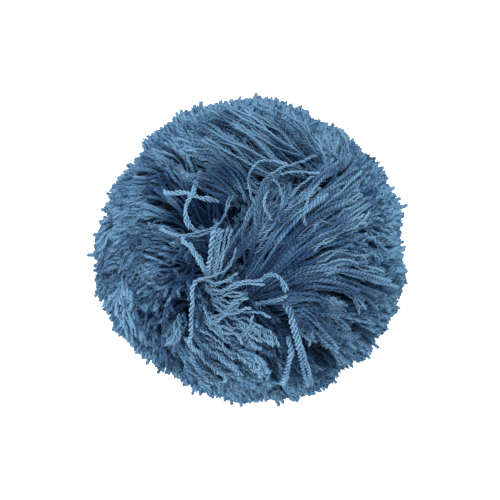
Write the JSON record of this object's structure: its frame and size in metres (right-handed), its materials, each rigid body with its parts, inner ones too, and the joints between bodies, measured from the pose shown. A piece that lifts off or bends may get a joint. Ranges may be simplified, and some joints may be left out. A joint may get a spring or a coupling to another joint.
{
  "type": "yarn pompom",
  "caption": "Round cut-yarn pompom lying on its flattened underside: dense locks of plied yarn stand out of a tied middle and part on top.",
  "frame": {"origin": "on the table under the middle of the ball's outline", "axes": "+Z up from the table, through the crown where the pile parts; +X to the right and +Y up as the picture shows the pompom from above"},
  "size_m": [0.1004, 0.0978, 0.0886],
  "materials": {
    "yarn": "soft matt two-ply yarn, dusty blue, slightly fuzzy"
  },
  "bodies": {
    "root": {"pompom": "yarn"}
  },
  "joints": []
}
